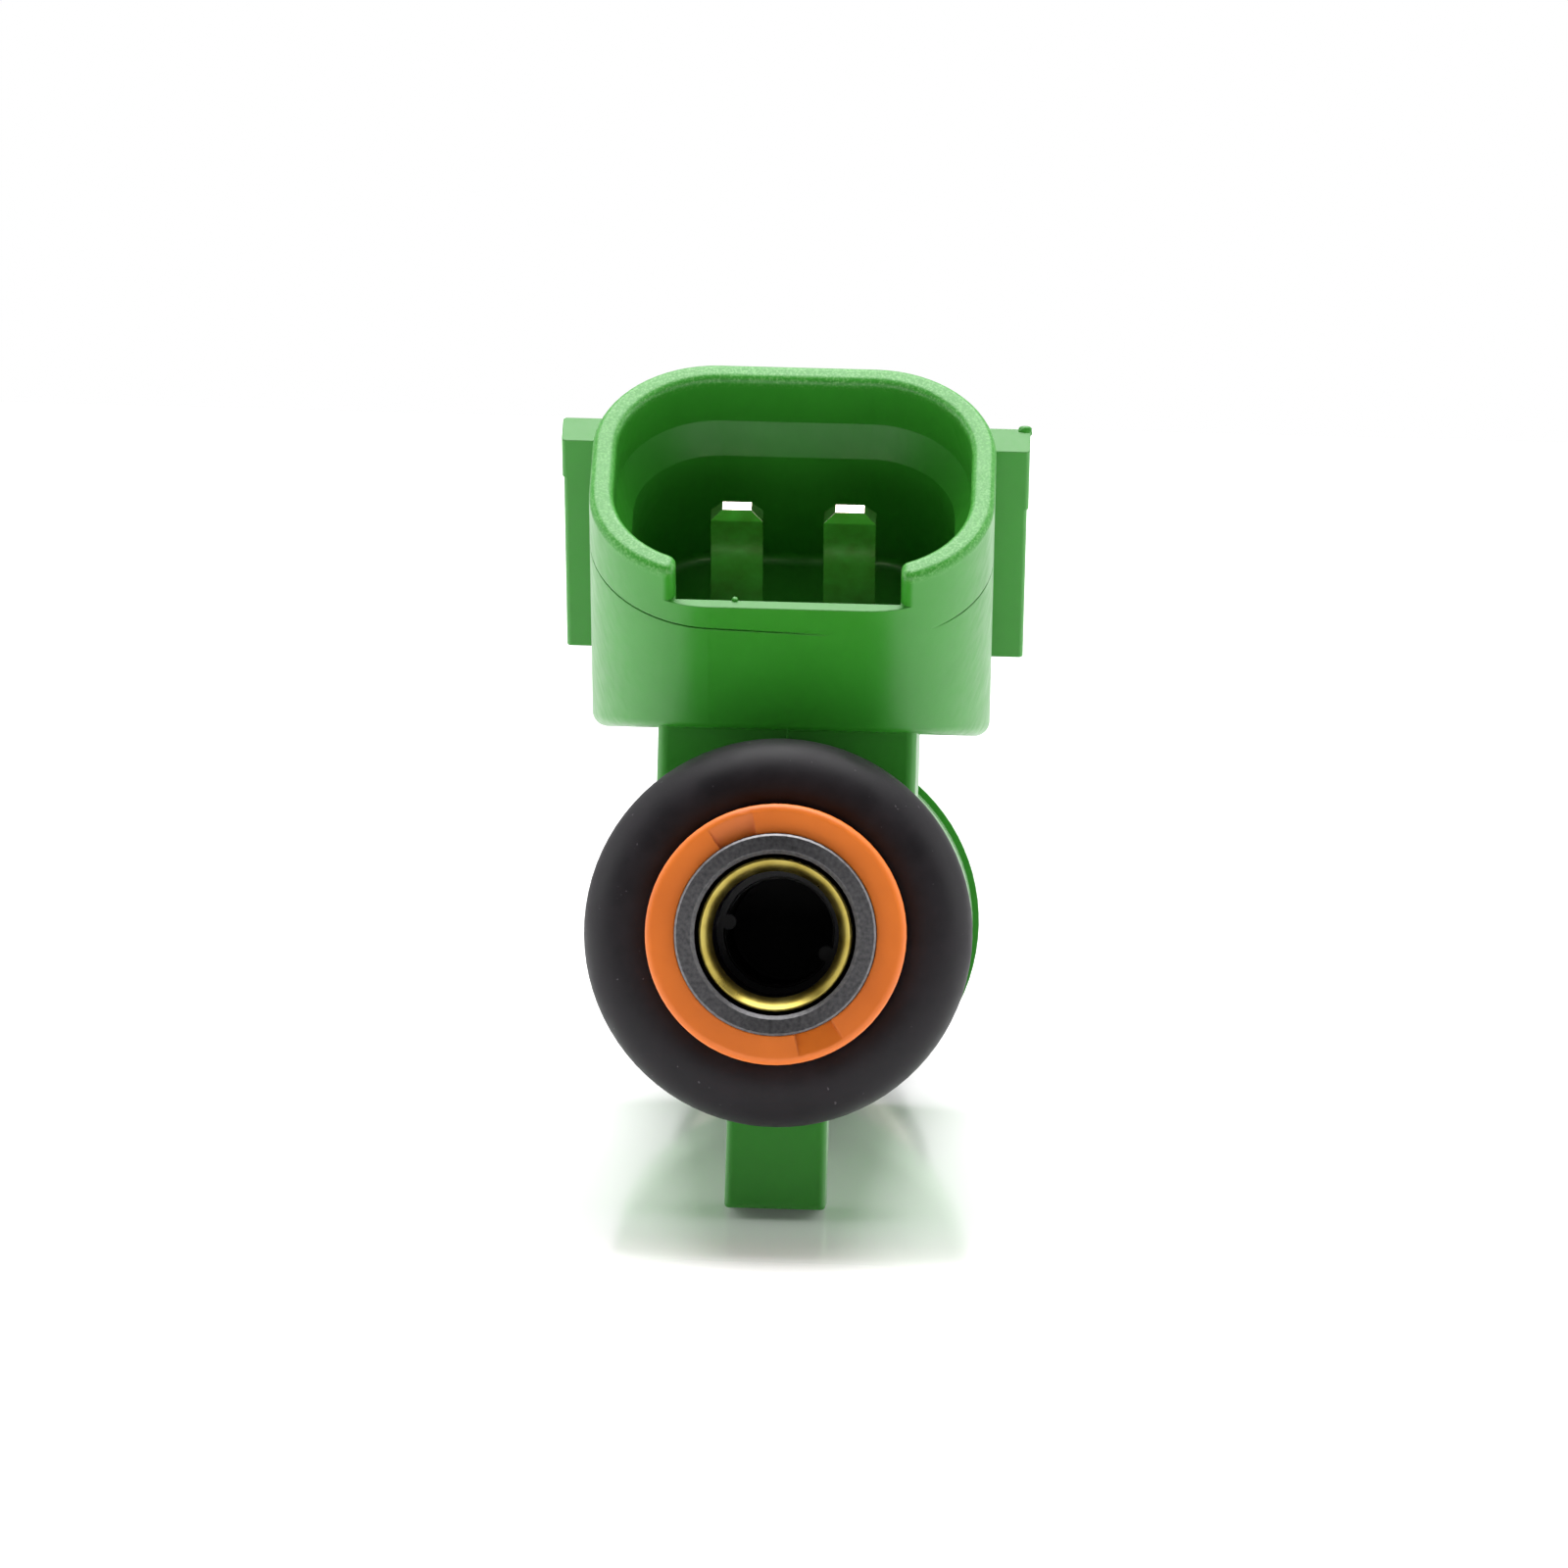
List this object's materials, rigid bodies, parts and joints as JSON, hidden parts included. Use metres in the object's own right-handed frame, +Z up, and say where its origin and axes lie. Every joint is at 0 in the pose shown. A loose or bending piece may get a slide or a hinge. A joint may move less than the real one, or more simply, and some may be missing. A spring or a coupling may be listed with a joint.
{
  "type": "fuel injector",
  "caption": "Port fuel injector: a steel tube with a solenoid needle valve, sealed at both ends, in a plastic body with an angled electrical connector.",
  "frame": {"origin": "on the injector's axis, in the middle plane of the upper O-ring, inside the inlet's brass collar", "axes": "+Y along the axis from the fuel inlet to the nozzle, +Z up towards the connector, +X to the right seen from the inlet"},
  "size_m": [0.018, 0.0619, 0.0322],
  "materials": {
    "tube_steel": "satin, turned",
    "valve_steel": "ground",
    "spring_steel": "drawn wire",
    "ball_steel": "polished",
    "brass": "bright, pressed",
    "tinned_copper": "tin plated, worn",
    "copper_wire": "enamelled",
    "orange_plastic": "moulded, matt",
    "green_plastic": "moulded, fine texture",
    "black_plastic": "moulded, matt",
    "pale_plastic": "moulded, natural",
    "mesh_nylon": "woven",
    "black_rubber": "satin"
  },
  "bodies": {
    "injector_body": {"adjusting_sleeve": "valve_steel", "backup_ring": "orange_plastic", "body_overmold": "green_plastic", "coil_bobbin": "pale_plastic", "coil_leads": "copper_wire", "coil_winding": "copper_wire", "filter_cage": "black_plastic", "filter_collar": "brass", "filter_mesh": "mesh_nylon", "fixed_core": "valve_steel", "fuel_tube": "tube_steel", "guide_ring": "valve_steel", "lower_o_ring": "black_rubber", "lower_spacer": "pale_plastic", "nozzle_cap": "black_plastic", "orifice_plate": "valve_steel", "return_spring": "spring_steel", "terminal_left": "tinned_copper", "terminal_right": "tinned_copper", "upper_o_ring": "black_rubber", "valve_seat": "valve_steel", "yoke_housing": "tube_steel", "yoke_plate": "tube_steel"},
    "needle": {"armature": "valve_steel", "valve_rod": "valve_steel", "valve_ball": "ball_steel"}
  },
  "joints": [
    {"name": "needle_lift", "type": "slide", "parent": "injector_body", "child": "needle", "axis": [0, -1, 0], "range_m": [0, 0.0001], "stiffness_N_per_m": 2500, "deforming": ["return_spring"]}
  ]
}
